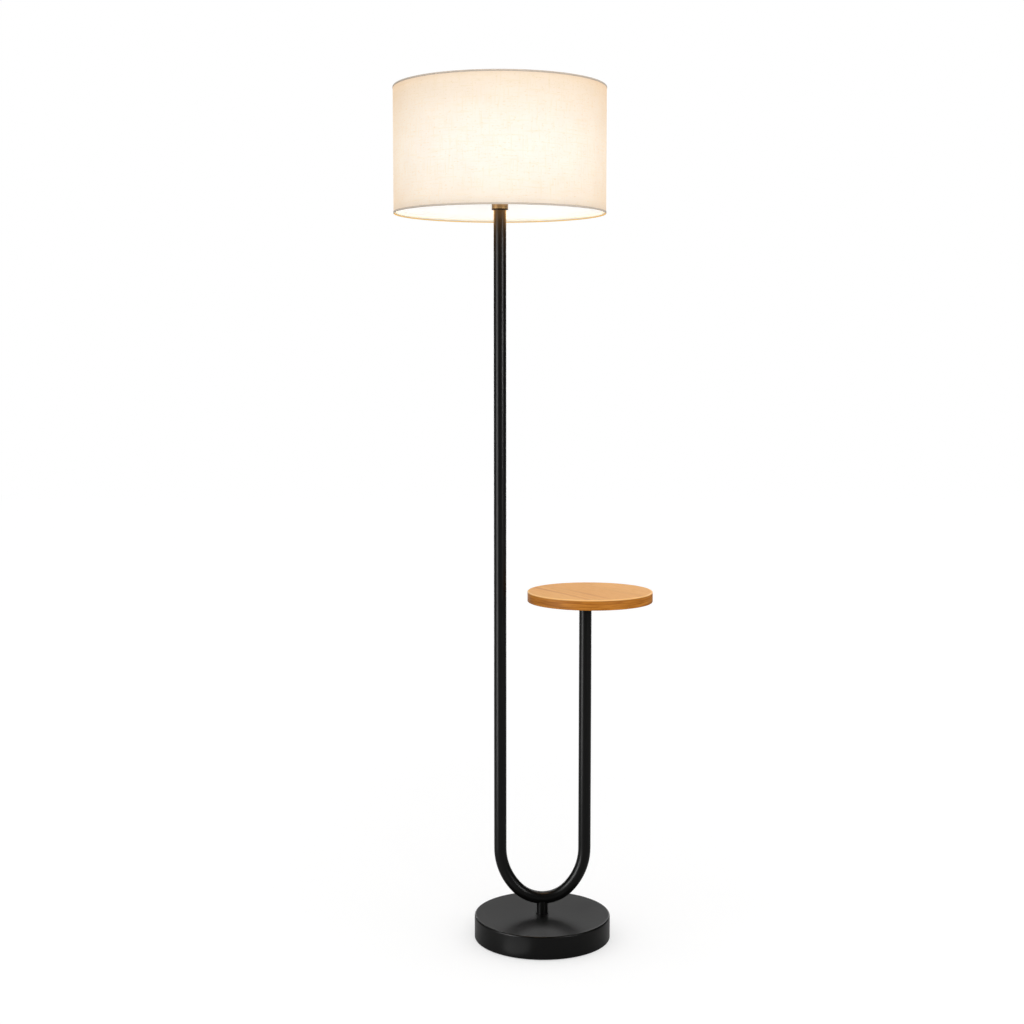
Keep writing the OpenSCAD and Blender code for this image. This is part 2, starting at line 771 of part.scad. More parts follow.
// Wire ring inside one end of the drum
module shade_ring(z) {
    color("#e9e6df") translate([post_x, 0, z]) rotate_extrude()
        translate([ring_r, 0]) circle(d = ring_wire_d);
}

// Three wire arms welded to a washer, each turned up to the underside of the upper ring
module shade_spider() {
    reach = ring_r - arm_bend_r;
    color("#e9e6df") difference() {
        translate([post_x, 0, spider_z]) {
            translate([0, 0, -washer_t / 2]) cylinder(d = washer_d, h = washer_t);
            for (i = [0:2]) rotate([0, 0, 90 + 120 * i]) {
                translate([washer_d / 2 - 4, 0, arm_d / 2 - washer_t / 2]) rotate([0, 90, 0])
                    cylinder(d = arm_d, h = reach - washer_d / 2 + 4);
                translate([reach, 0, arm_d / 2 - washer_t / 2 + arm_bend_r])
                    arc_rod(arm_bend_r, 270, 360, arm_d);
                translate([ring_r, 0, arm_d / 2 - washer_t / 2 + arm_bend_r])
                    cylinder(d = arm_d, h = spider_drop - arm_d / 2 + washer_t / 2 - arm_bend_r);
            }
        }
        translate([post_x, 0, ring_z]) rotate_extrude() translate([ring_r, 0]) circle(d = ring_wire_d);
        translate([post_x, 0, seat_z - past]) cylinder(d = stud_d + 2 * stud_gap, h = washer_t + 3 * past);
    }
}

// Stiff laminated linen drum, open at both ends
module shade_drum() {
    color(linen) translate([post_x, 0, shade_low + trim_t])
        sleeve(shade_d, shade_d - 2 * shade_wall, shade_h - 2 * trim_t);
}

// Folded linen tape over one edge of the drum, its open side up
module edge_trim() {
    out_r = shade_d / 2 + trim_t;
    in_r = drum_in_r - trim_t;
    color("#cdbfae") rotate_extrude() difference() {
        translate([in_r, 0]) square([out_r - in_r, trim_h]);
        translate([drum_in_r, trim_t]) square([shade_wall, trim_h]);
    }
}

module top_trim() {
    translate([post_x, 0, shade_top]) mirror([0, 0, 1]) edge_trim();
}

module bottom_trim() {
    translate([post_x, 0, shade_low]) edge_trim();
}

// Small turned brass nut on the harp's stud, above the spider's washer
module finial() {
    foot_h = 5;
    knob_r = 6.5;
    ball_z = stud_l + 1;
    color(brass) translate([post_x, 0, finial_z]) difference() {
        union() {
            rotate_extrude() disc_profile(6.5, foot_h, 0.3, 1);
            cylinder(d = 9, h = ball_z);
            translate([0, 0, ball_z]) sphere(knob_r);
        }
        translate([0, 0, -past]) cylinder(d = stud_d + 2 * stud_gap, h = stud_l - washer_t + past);
    }
}

base_cover();
base_weight();
base_pad();
cord_gland();
base_washer();
base_nut();
neck_nipple();
neck_ring();
neck_tube();
u_tube();
coupler(lower_joint_h);  // lower_coupler
post_length(lower_joint_h, upper_joint_h);  // post_middle
coupler(upper_joint_h);  // upper_coupler
post_length(upper_joint_h, post_h);  // post_top
post_insert();
leg_plug();
table_flange();
table_bolt();
table_screw(0);  // table_screw_1
table_screw(1);  // table_screw_2
table_screw(2);  // table_screw_3
table_screw(3);  // table_screw_4
table_top();
collar();
top_nipple();
harp_saddle();
ferrule(-1);  // ferrule_left
ferrule(1);  // ferrule_right
harp();
socket_cap();
socket_shell();
socket_liner();
socket_body();
screw_shell();
centre_contact();
terminal_screw(-1);  // terminal_screw_1
terminal_screw(1);  // terminal_screw_2
switch_knob();
inner_lead();
lead_wire(-1);  // lead_wire_1
lead_wire(1);  // lead_wire_2
bulb_globe();
bulb_cap();
bulb_insulator();
bulb_contact();
shade_spider();
shade_ring(ring_z);  // shade_top_ring
shade_ring(shade_low + ring_inset);  // shade_bottom_ring
shade_drum();
top_trim();
bottom_trim();
finial();
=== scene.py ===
import math

import bmesh
import bpy
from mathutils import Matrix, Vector


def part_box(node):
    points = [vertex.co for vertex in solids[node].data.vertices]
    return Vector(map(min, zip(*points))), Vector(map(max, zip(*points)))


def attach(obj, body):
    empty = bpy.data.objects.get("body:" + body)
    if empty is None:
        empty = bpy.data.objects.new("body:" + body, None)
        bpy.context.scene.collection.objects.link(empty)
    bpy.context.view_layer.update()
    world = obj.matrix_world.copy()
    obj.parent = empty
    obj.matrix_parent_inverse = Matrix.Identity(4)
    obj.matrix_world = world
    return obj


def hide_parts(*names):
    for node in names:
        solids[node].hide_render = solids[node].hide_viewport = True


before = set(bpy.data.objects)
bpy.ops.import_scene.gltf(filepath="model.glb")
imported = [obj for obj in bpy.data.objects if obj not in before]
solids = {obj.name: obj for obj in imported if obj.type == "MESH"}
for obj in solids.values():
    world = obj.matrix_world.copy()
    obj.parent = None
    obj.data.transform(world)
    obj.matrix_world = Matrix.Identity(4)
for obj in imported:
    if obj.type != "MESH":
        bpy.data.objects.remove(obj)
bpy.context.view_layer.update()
MM = 0.001


# ---------------------------------------------------------------- room
# The lamp stands on a matt white floor that runs into a white backdrop. A key light in front lights what is matt.
# Softboxes and strips at its sides, behind it and over it show only in what is glossy.
# The camera stands 2.8 m away and 1.04 m high, between the table and the shade, and looks slightly down.

camera = bpy.data.objects.new("camera", bpy.data.cameras.new("camera"))
bpy.context.collection.objects.link(camera)
camera.location = (-54.2 * MM, -2820 * MM, 1035.6 * MM)
camera.rotation_euler = (math.radians(84.507), 0, 0)
camera.data.sensor_width = 36
camera.data.lens = 56.91
bpy.context.scene.camera = camera
bpy.context.scene.view_settings.view_transform = "Standard"

AMBIENT = 0.90  # light that comes evenly from the room
NEAR_LIFT, FAR_LIFT = 0.485, 0.528  # what the floor lacks to white, beside the lamp and far away
FAR = 2.0  # metres from the lamp to where the floor counts as far away


def colour(code):
    """An sRGB hex value as linear light, with full alpha."""
    parts = [int(code[i : i + 2], 16) / 255 for i in (1, 3, 5)]
    return [p / 12.92 if p < 0.04045 else ((p + 0.055) / 1.055) ** 2.4 for p in parts] + [1]


def add(tree, kind, inputs=None, out=0, **settings):
    """Adds a node and returns one of its outputs; an input is a value or the output that feeds it."""
    made = tree.nodes.new(kind if kind.startswith(("Geometry", "Function")) else "ShaderNode" + kind)
    for name, value in settings.items():
        setattr(made, name, value)
    for name, value in (inputs or {}).items():
        if isinstance(value, bpy.types.NodeSocket):
            tree.links.new(value, made.inputs[name])
        else:
            made.inputs[name].default_value = value
    return made.outputs[out] if made.outputs else None


def emptied(owner):
    owner.use_nodes = True
    owner.node_tree.nodes.clear()
    return owner.node_tree


# The backdrop is white to the eye. In a gloss it is white only straight behind the lamp and low down: black flags
# beside it give the tubes dark edges, and a black one above it lets the bend's dark image show on the base.
world = bpy.data.worlds.new("backdrop")
bpy.context.scene.world = world
tree = emptied(world)
eye = add(tree, "LightPath", out="Is Camera Ray")
mirror = add(tree, "LightPath", out="Is Glossy Ray")
way = add(tree, "TexCoord", out="Generated")
behind = add(tree, "MapRange", {
    "Value": add(tree, "SeparateXYZ", {"Vector": way}, "Y"),
    "From Min": 0.88, "From Max": 0.97, "To Min": 0.05, "To Max": 0.95})
low = add(tree, "MapRange", {
    "Value": add(tree, "SeparateXYZ", {"Vector": way}, "Z"),
    "From Min": 0.1, "From Max": 0.19, "To Min": 1, "To Max": 0.04})
paper = add(tree, "Math", {0: behind, 1: low}, operation="MULTIPLY")
ambient = add(tree, "Mix", {0: mirror, 2: AMBIENT, 3: paper}, data_type="FLOAT")
level = add(tree, "Math", {0: ambient, 1: eye}, operation="MAXIMUM")
add(tree, "OutputWorld", {"Surface": add(tree, "Background", {"Color": colour("#ffffff"), "Strength": level})})

# Matt white floor paint, lifted for the eye until it meets the backdrop; the lamp's shadow stays on it
floor_paint = bpy.data.materials.new("floor_paint_matt_white")
tree = emptied(floor_paint)
away = add(tree, "VectorMath", {0: add(tree, "TexCoord", out="Object")}, operation="LENGTH", out="Value")
lift = add(tree, "MapRange", {"Value": away, "From Max": FAR, "To Min": NEAR_LIFT, "To Max": FAR_LIFT})
eye = add(tree, "LightPath", out="Is Camera Ray")
add(tree, "OutputMaterial", {"Surface": add(tree, "BsdfPrincipled", {
    "Base Color": colour("#c0c0c0"), "Roughness": 0.9, "Specular IOR Level": 0.0, "Emission Color": colour("#ffffff"),
    "Emission Strength": add(tree, "Math", {0: lift, 1: eye}, operation="MULTIPLY")})})

mesh = bpy.data.meshes.new("floor")
mesh.from_pydata([(-9, -9, 0), (9, -9, 0), (9, 9, 0), (-9, 9, 0)], [], [(0, 1, 2, 3)])
mesh.materials.append(floor_paint)
floor = bpy.data.objects.new("floor", mesh)
bpy.context.collection.objects.link(floor)


def panel(name, place, aim, size, power, hue="#ffffff", lights=True, mirrored=True, shape="RECTANGLE"):
    """A soft panel that faces the aim, in metres and watts; it may light matt things alone, or gloss alone."""
    lamp = bpy.data.lights.new(name, "AREA")
    lamp.shape, lamp.energy, lamp.color = shape, power, colour(hue)[:3]
    lamp.size, lamp.size_y = size
    made = bpy.data.objects.new(name, lamp)
    bpy.context.collection.objects.link(made)
    made.location = place
    made.rotation_euler = (Vector(aim) - Vector(place)).to_track_quat("-Z", "Y").to_euler()
    made.visible_camera, made.visible_diffuse, made.visible_glossy = False, lights, mirrored


# Left and right of the lamp, for the long highlights on the tubes; the low ones are for the bend and the base's wall
panel("left_softbox", (-1.87, -1.17, 0.98), (0, 0, 0.98), (0.9, 1.9), 66, lights=False)
panel("low_softbox", (-0.9, -0.56, 0.16), (0, 0, 0.16), (0.42, 0.3), 3.6, lights=False)
panel("floor_card", (-0.09, -0.16, 0.002), (-0.09, -0.16, 1), (0.1, 0.1), 0.038, lights=False, shape="ELLIPSE")
panel("right_strip", (1.70, -1.55, 1.35), (0, 0, 1.35), (0.16, 1.0), 34, lights=False)

# Behind and over it, for the tubes' rims, the base's top, the bend and the table
for side in (-1, 1):
    panel("back_strip", (side * 0.75, 2.05, 1.0), (0, 0, 1.0), (0.22, 1.8), 7, lights=False)
panel("ceiling_softbox", (0, 4.1, 3.0), (0, 4.1, 0), (3.6, 3.4), 122, lights=False)
panel("top_softbox", (0, 0.65, 2.5), (0, 0, 0.4), (1.2, 0.6), 14, "#ffe6cc", lights=False)

# In front, for wood, linen and the floor; no gloss shows it
panel("front_key", (0.45, -2.5, 1.5), (0, 0, 0.9), (1.2, 1.2), 18, mirrored=False)

# The warm light that falls out of the shade, for the gloss of the post's top and the bend
panel("shade_opening", (-0.075, 0.03, 1.2855), (-0.075, 0.03, 0), (0.34, 0.28), 2.9, "#ffb762",
      lights=False, shape="ELLIPSE")


# ---------------------------------------------------------------- base
# A heavy round foot: a pressed steel cover over a cast iron disc, on a felt pad. Its rear wall holds a rubber grommet.
# A nut and washer under the iron pull the whole stack against the neck.


def finish(name):
    """A new material with its tree and the object's own coordinates in metres."""
    made = bpy.data.materials.new(name)
    tree = emptied(made)
    return made, tree, add(tree, "TexCoord", out="Object")


def dress(made, *names):
    """Gives CAD solids a material."""
    for name in names:
        for part in solids[name].material_slots:
            part.material = made


# Polyester powder coat, satin black, baked on steel: a faint orange peel bends each reflection a little
powder_black, tree, place = finish("powder_coat_satin_black")
peel = add(tree, "TexNoise", {"Vector": place, "Scale": 1 / (2.5 * MM), "Detail": 1})
drift = add(tree, "TexNoise", {"Vector": place, "Scale": 1 / (60 * MM), "Detail": 2})
add(tree, "OutputMaterial", {"Surface": add(tree, "BsdfPrincipled", {
    "Base Color": add(tree, "Mix", {0: drift, 6: colour("#070707"), 7: colour("#0c0c0b")}, 2, data_type="RGBA"),
    "Roughness": add(tree, "MapRange", {
        "Value": drift, "From Min": 0.3, "From Max": 0.7, "To Min": 0.31, "To Max": 0.35}),
    "IOR": 1.24,
    "Normal": add(tree, "Bump", {"Height": peel, "Distance": 0.01 * MM, "Strength": 0.2})})})
dress(powder_black, "base_cover")

# Grey iron, sand cast, machined only where it seats: dark, dull and grainy
cast_iron, tree, place = finish("grey_iron_sand_cast")
sand = add(tree, "TexNoise", {"Vector": place, "Scale": 1 / (1.2 * MM), "Detail": 3})
add(tree, "OutputMaterial", {"Surface": add(tree, "BsdfPrincipled", {
    "Base Color": add(tree, "Mix", {0: sand, 6: colour("#3a3936"), 7: colour("#5b5a56")}, 2, data_type="RGBA"),
    "Metallic": 0.6, "Roughness": add(tree, "MapRange", {"Value": sand, "To Min": 0.5, "To Max": 0.75}),
    "Normal": add(tree, "Bump", {"Height": sand, "Distance": 0.3 * MM, "Strength": 0.6})})})
dress(cast_iron, "base_weight")

# Pressed wool felt, dark grey: short fibres matted in every direction, drawn at 0.8 mm, coarser than real ones
felt, tree, place = finish("wool_felt_pressed_dark")
fibres = add(tree, "TexNoise", {"Vector": place, "Scale": 1 / (0.8 * MM), "Detail": 4, "Distortion": 1.5})
add(tree, "OutputMaterial", {"Surface": add(tree, "BsdfPrincipled", {
    "Base Color": add(tree, "Mix", {0: fibres, 6: colour("#1d1d1f"), 7: colour("#3b3b3d")}, 2, data_type="RGBA"),
    "Roughness": 0.95, "Sheen Weight": 0.3,
    "Normal": add(tree, "Bump", {"Height": fibres, "Distance": 0.4 * MM, "Strength": 0.8})})})
dress(felt, "base_pad")

# Rubber, moulded, matt black, with the faint texture of its mould
rubber, tree, place = finish("rubber_moulded_black")
mould = add(tree, "TexNoise", {"Vector": place, "Scale": 1 / (0.5 * MM), "Detail": 1})
add(tree, "OutputMaterial", {"Surface": add(tree, "BsdfPrincipled", {
    "Base Color": add(tree, "Mix", {0: mould, 6: colour("#101010"), 7: colour("#191919")}, 2, data_type="RGBA"),
    "Roughness": 0.7, "Normal": add(tree, "Bump", {"Height": mould, "Distance": 0.03 * MM, "Strength": 0.5})})})
dress(rubber, "cord_gland")

# Steel, zinc plated: bright, slightly blue, with the cloudy crystals of the plating
zinc, tree, place = finish("steel_zinc_plated")
cloud = add(tree, "TexNoise", {"Vector": place, "Scale": 1 / (3 * MM), "Detail": 3})
add(tree, "OutputMaterial", {"Surface": add(tree, "BsdfPrincipled", {
    "Base Color": add(tree, "Mix", {0: cloud, 6: colour("#a3a7aa"), 7: colour("#c0c3c4")}, 2, data_type="RGBA"),
    "Metallic": 1, "Roughness": add(tree, "MapRange", {"Value": cloud, "To Min": 0.25, "To Max": 0.42})})})
dress(zinc, "base_washer", "base_nut", "neck_nipple")


# ---------------------------------------------------------------- neck, bent tube and post
# One steel tube is bent to a U over three radii and welded to a short neck with a foot ring. Two straight lengths carry
# the post on over inner couplers, and a threaded insert closes its top. All the tubes are powder coated after welding.

dress(powder_black, "neck_ring", "neck_tube", "u_tube", "post_middle", "post_top")
dress(zinc, "lower_coupler", "upper_coupler", "post_insert", "leg_plug")


# ---------------------------------------------------------------- table
# A round oak top, glued up from boards, turned and oiled. Its arrises are eased, and its edge shows the grain running
# round. It lies on a steel flange that a bolt holds to the leg's plug.

table_low, table_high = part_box("table_top")
table_x = (table_low.x + table_high.x) / 2
table_r = (table_high.x - table_low.x) / 2
BOARD = 81 * MM  # width of one board
BOARD_TURN = math.radians(59)  # how far the boards are turned from the line of the legs
EASE = 1.2 * MM  # rounding of the arrises


def turned(name, profile, axis_x, skins, steps):
    """A shape turned about an upright axis from (radius, height, skin) points; UVs in metres, with the seam behind."""
    made = bmesh.new()
    layer = made.loops.layers.uv.new("surface")
    rings = []
    for r, z, _ in profile:
        turns = [2 * math.pi * (i / steps - 0.5) for i in range(steps if r else 1)]
        ring = [made.verts.new((axis_x + r * math.sin(t), -r * math.cos(t), z)) for t in turns]
        rings.append(ring if r else ring * steps)
    reach = max(r for r, _, _ in profile)
    runs = len(profile) - (0 if profile[0][0] else 1)
    along = 0
    for k in range(runs):
        n = (k + 1) % len(profile)
        step = math.dist(profile[k][:2], profile[n][:2])
        for i in range(steps):
            j = (i + 1) % steps
            corners = [(rings[k][i], i, 0), (rings[k][j], i + 1, 0), (rings[n][j], i + 1, step), (rings[n][i], i, step)]
            corners = [c for m, c in enumerate(corners) if all(c[0] is not d[0] for d in corners[:m])]
            face = made.faces.new([c[0] for c in corners])
            face.material_index, face.smooth = profile[k][2], True
            for loop, (_, turn, up) in zip(face.loops, corners):
                loop[layer].uv = (2 * math.pi * reach * (turn / steps - 0.5), along + up)
        along += step
    bmesh.ops.recalc_face_normals(made, faces=made.faces)
    mesh = bpy.data.meshes.new(name)
    made.to_mesh(mesh)
    made.free()
    for skin in skins:
        mesh.materials.append(skin)
    piece = bpy.data.objects.new(name, mesh)
    bpy.context.collection.objects.link(piece)
    return piece


# Oak, planed and oiled: boards glued edge to edge at a slant, each with its own tone, and fine pores along the grain.
# The pores are drawn 1.6 mm wide, because real ones of 0.3 mm would not show.
oak_face, tree, place = finish("oak_oiled_boards")
centred = add(tree, "Mapping", {"Vector": place, "Location": (table_x, 0, 0)}, vector_type="TEXTURE")
lay = add(tree, "Mapping", {"Vector": centred, "Rotation": (0, 0, BOARD_TURN), "Location": (0, 0.53 * BOARD, 0)})
across = add(tree, "Math", {0: add(tree, "SeparateXYZ", {"Vector": lay}, "Y"), 1: BOARD}, operation="DIVIDE")
board = add(tree, "Math", {0: across}, operation="FLOOR")
tone = add(tree, "TexWhiteNoise", {"W": board}, "Color", noise_dimensions="1D")
moved = add(tree, "VectorMath", {0: lay, 1: tone}, operation="ADD")
long_grain = add(tree, "Mapping", {"Vector": moved, "Scale": (0.09, 1, 1)})
figure = add(tree, "TexNoise", {"Vector": long_grain, "Scale": 1 / (11 * MM), "Detail": 3, "Distortion": 0.8})
pores = add(tree, "TexNoise", {"Vector": long_grain, "Scale": 1 / (1.6 * MM), "Detail": 2})
heart = add(tree, "TexNoise", {"Vector": long_grain, "Scale": 1 / (26 * MM), "Detail": 1})
glue = add(tree, "Math", {0: across, 1: 0.5}, operation="PINGPONG")
plain = add(tree, "Mix", {0: figure, 6: colour("#e39f4c"), 7: colour("#eeb367")}, 2, data_type="RGBA")
toned = add(tree, "Mix", {
    0: add(tree, "MapRange", {"Value": add(tree, "SeparateXYZ", {"Vector": tone}), "To Max": 0.5}),
    6: plain, 7: colour("#de984a")}, 2, data_type="RGBA")
streaked = add(tree, "Mix", {
    0: add(tree, "MapRange", {"Value": heart, "From Min": 0.6, "From Max": 0.72, "To Max": 0.6}),
    6: toned, 7: colour("#c97f3b")}, 2, data_type="RGBA")
pored = add(tree, "Mix", {
    0: add(tree, "MapRange", {"Value": pores, "From Min": 0.55, "From Max": 0.75, "To Max": 0.4}),
    6: streaked, 7: colour("#cd843f")}, 2, data_type="RGBA")
glued = add(tree, "Mix", {
    0: add(tree, "MapRange", {"Value": glue, "From Max": 0.018, "To Min": 0.38, "To Max": 0}),
    6: pored, 7: colour("#b67838")}, 2, data_type="RGBA")
# a pale highlight painted in a ring along the upper arris
rim = add(tree, "MapRange", {
    "Value": add(tree, "VectorMath", {0: add(tree, "VectorMath", {0: centred, 1: (1, 1, 0)}, operation="MULTIPLY")},
                 operation="LENGTH", out="Value"),
    "From Min": table_r - 3.2 * MM, "From Max": table_r - 1.8 * MM})
arris_highlight = add(tree, "Mix", {0: rim, 6: glued, 7: colour("#f7c27c")}, 2, data_type="RGBA")
add(tree, "OutputMaterial", {"Surface": add(tree, "BsdfPrincipled", {
    "Base Color": arris_highlight, "IOR": 1.35, "Specular IOR Level": 0.15,
    "Roughness": add(tree, "MapRange", {
        "Value": pores, "From Min": 0.4, "From Max": 0.7, "To Min": 0.5, "To Max": 0.62}),
    "Normal": add(tree, "Bump", {"Height": pores, "Distance": 0.05 * MM, "Strength": 0.4})})})

# The same oak on its turned edge: long dark and light lines run round it, and a pale highlight is painted along its
# upper arris
oak_edge, tree, place = finish("oak_oiled_edge")
round_it = add(tree, "Mapping", {"Vector": add(tree, "UVMap", uv_map="surface"), "Scale": (0.06, 1, 1)})
bands = add(tree, "TexNoise", {"Vector": round_it, "Scale": 1 / (3.4 * MM), "Detail": 3, "Distortion": 0.4})
fine = add(tree, "TexNoise", {"Vector": round_it, "Scale": 1 / (0.9 * MM), "Detail": 2})
broad = add(tree, "Mix", {
    0: add(tree, "MapRange", {"Value": bands, "From Min": 0.3, "From Max": 0.7}),
    6: colour("#9a5912"), 7: colour("#ce852f")}, 2, data_type="RGBA")
lined = add(tree, "Mix", {
    0: add(tree, "MapRange", {"Value": fine, "From Min": 0.55, "From Max": 0.75, "To Max": 0.45}),
    6: broad, 7: colour("#7c4a10")}, 2, data_type="RGBA")
# the painted highlight along the upper arris
arris_highlight_edge = add(tree, "Mix", {
    0: add(tree, "MapRange", {
        "Value": add(tree, "SeparateXYZ", {"Vector": place}, "Z"),
        "From Min": table_high.z - 2.2 * MM, "From Max": table_high.z - 1.2 * MM}),
    6: lined, 7: colour("#f7c27c")}, 2, data_type="RGBA")
add(tree, "OutputMaterial", {"Surface": add(tree, "BsdfPrincipled", {
    "Base Color": arris_highlight_edge, "IOR": 1.3, "Specular IOR Level": 0.25,
    "Roughness": add(tree, "MapRange", {"Value": fine, "To Min": 0.5, "To Max": 0.62}),
    "Normal": add(tree, "Bump", {"Height": fine, "Distance": 0.05 * MM, "Strength": 0.4})})})

# Its section runs from the middle of the underside round the edge to the middle of the upper face
arc = [(math.cos(math.radians(a)), math.sin(math.radians(a))) for a in (0, 22.5, 45, 67.5)]
table_profile = [(0, table_low.z, 0)]
table_profile += [(table_r - EASE + EASE * s, table_low.z + EASE - EASE * c, 1) for c, s in reversed(
    [(s, c) for c, s in arc])]
table_profile += [(table_r - EASE + EASE * c, table_high.z - EASE + EASE * s, 1) for c, s in arc]
table_profile += [(table_r - EASE, table_high.z, 0), (table_r - 8 * MM, table_high.z, 0), (0, table_high.z, 0)]
top = turned("oak_table_top", table_profile, table_x, [oak_face, oak_edge], steps=192)
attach(top, "stand")
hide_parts("table_top")

dress(powder_black, "table_flange")
dress(zinc, "table_bolt")


# ---------------------------------------------------------------- table screws
# Four zinc-plated wood screws with domed heads and cross recesses hold the top from below the flange.
# They stand a quarter turn apart, and each has stopped at its own angle.

CUTTER = 20 * MM  # a block wider than the head, to cut it flat
RECESS_LONG, RECESS_WIDE = 0.56, 0.14  # each arm of the cross, as shares of the head's width
RECESS_DEEP = 0.6  # as a share of the head's height
POINT = 2 * MM  # the tapered end
ROOT = 0.4 * MM  # how far the shank starts inside the head, and the point inside the shank
screw_boxes = [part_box(f"table_screw_{i}") for i in (1, 2, 3, 4)]
screw_mids = [(low + high) / 2 for low, high in screw_boxes]
screw_sizes = {
    "Circle": max(m.x for m in screw_mids) - min(m.x for m in screw_mids),
    "Head": screw_boxes[0][1].x - screw_boxes[0][0].x,
    "Head height": 2.4 * MM,
    "Shank": 4 * MM,
    "Length": screw_boxes[0][1].z - screw_boxes[0][0].z,
    "Leg": sum(m.x for m in screw_mids) / 4,
    "Low": screw_boxes[0][0].z,
    "Count": 4,
}


def sized(name, sizes):
    """A geometry tree with these named inputs, and the sockets that give them."""
    tree = bpy.data.node_groups.new(name, "GeometryNodeTree")
    tree.interface.new_socket("Piece", in_out="OUTPUT", socket_type="NodeSocketGeometry")
    for label, value in sizes.items():
        kind = "NodeSocketInt" if isinstance(value, int) else "NodeSocketFloat"
        tree.interface.new_socket(label, in_out="INPUT", socket_type=kind)
    return tree, tree.nodes.new("NodeGroupInput").outputs


def grown(name, tree, sizes, shape):
    """Ends a geometry tree in this shape, runs it with these sizes, and returns a plain piece."""
    tree.links.new(shape, tree.nodes.new("NodeGroupOutput").inputs["Piece"])
    seed = bpy.data.objects.new(name + "_seed", bpy.data.meshes.new(name + "_seed"))
    bpy.context.collection.objects.link(seed)
    modifier = seed.modifiers.new(name, "NODES")
    modifier.node_group = tree
    for item in tree.interface.items_tree:
        if item.in_out == "INPUT":
            modifier[item.identifier] = sizes[item.name]
    mesh = bpy.data.meshes.new_from_object(seed.evaluated_get(bpy.context.evaluated_depsgraph_get()))
    mesh.name = name
    bpy.data.objects.remove(seed)
    piece = bpy.data.objects.new(name, mesh)
    bpy.context.collection.objects.link(piece)
    return piece


tree, size = sized("domed_cross_screws", screw_sizes)
width, tall = size["Head"], size["Head height"]
dome = add(tree, "GeometryNodeTransform", {
    "Geometry": add(tree, "GeometryNodeMeshUVSphere", {"Segments": 32, "Rings": 16, "Radius": 1.0}),
    "Scale": add(tree, "CombineXYZ", {
        "X": add(tree, "Math", {0: width, 1: 0.5}, operation="MULTIPLY"),
        "Y": add(tree, "Math", {0: width, 1: 0.5}, operation="MULTIPLY"), "Z": tall})})
upper_half = add(tree, "GeometryNodeTransform", {
    "Geometry": add(tree, "GeometryNodeMeshCube", {
        "Size": add(tree, "CombineXYZ", {
            "X": CUTTER, "Y": CUTTER, "Z": add(tree, "Math", {0: tall, 1: 2}, operation="MULTIPLY")})}),
    "Translation": add(tree, "CombineXYZ", {"Z": tall})})
slot = add(tree, "GeometryNodeTransform", {
    "Geometry": add(tree, "GeometryNodeMeshCube", {"Size": add(tree, "CombineXYZ", {
        "X": add(tree, "Math", {0: width, 1: RECESS_LONG}, operation="MULTIPLY"),
        "Y": add(tree, "Math", {0: width, 1: RECESS_WIDE}, operation="MULTIPLY"), "Z": tall})}),
    "Translation": add(tree, "CombineXYZ", {
        "Z": add(tree, "Math", {0: tall, 1: RECESS_DEEP - 1.5}, operation="MULTIPLY")})})
cross_slot = add(tree, "GeometryNodeTransform", {"Geometry": slot, "Rotation": (0, 0, math.radians(90))})
head = add(tree, "GeometryNodeSetShadeSmooth", {"Geometry": dome})
for cutter in (upper_half, slot, cross_slot):
    head = add(tree, "GeometryNodeMeshBoolean", {"Mesh 1": head, "Mesh 2": cutter},
               operation="DIFFERENCE", solver="EXACT")
half_shank = add(tree, "Math", {0: size["Shank"], 1: 0.5}, operation="MULTIPLY")
straight = add(tree, "Math", {
    0: add(tree, "Math", {0: size["Length"], 1: tall}, operation="SUBTRACT"), 1: POINT}, operation="SUBTRACT")
shank = add(tree, "GeometryNodeTransform", {
    "Geometry": add(tree, "GeometryNodeMeshCone", {
        "Vertices": 20, "Radius Top": half_shank, "Radius Bottom": half_shank,
        "Depth": add(tree, "Math", {0: straight, 1: ROOT}, operation="ADD")}),
    "Translation": (0, 0, -ROOT)})
point = add(tree, "GeometryNodeTransform", {
    "Geometry": add(tree, "GeometryNodeMeshCone", {
        "Vertices": 20, "Radius Top": 0.5 * MM, "Depth": POINT + ROOT,
        "Radius Bottom": add(tree, "Math", {0: half_shank, 1: 0.99}, operation="MULTIPLY")}),
    "Translation": add(tree, "CombineXYZ", {"Z": add(tree, "Math", {0: straight, 1: ROOT}, operation="SUBTRACT")})})
screw = add(tree, "GeometryNodeJoinGeometry", {"Geometry": head})
for length in (shank, point):
    tree.links.new(length, screw.node.inputs["Geometry"])
ring = add(tree, "GeometryNodeTransform", {
    "Geometry": add(tree, "GeometryNodeMeshCircle", {
        "Vertices": size["Count"],
        "Radius": add(tree, "Math", {0: size["Circle"], 1: math.sqrt(0.5)}, operation="MULTIPLY")}),
    "Translation": add(tree, "CombineXYZ", {
        "X": size["Leg"], "Z": add(tree, "Math", {0: size["Low"], 1: tall}, operation="ADD")}),
    "Rotation": (0, 0, math.radians(45))})
stopped = add(tree, "FunctionNodeRandomValue", {2: 0.0, 3: math.pi / 2, 8: 4}, 1, data_type="FLOAT")
driven = add(tree, "GeometryNodeInstanceOnPoints", {
    "Points": ring, "Instance": screw, "Rotation": add(tree, "CombineXYZ", {"Z": stopped})})
driven = add(tree, "GeometryNodeSetMaterial", {
    "Geometry": add(tree, "GeometryNodeRealizeInstances", {"Geometry": driven}), "Material": zinc})
screws = grown("table_screws", tree, screw_sizes, driven)
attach(screws, "stand")
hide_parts("table_screw_1", "table_screw_2", "table_screw_3", "table_screw_4")


# ---------------------------------------------------------------- collar and lampholder
# A turned brass collar caps the post. On it stand the harp's saddle and the lampholder: a brass cap and shell round a
# moulded block, with a card liner between them and a rotary switch in its side.

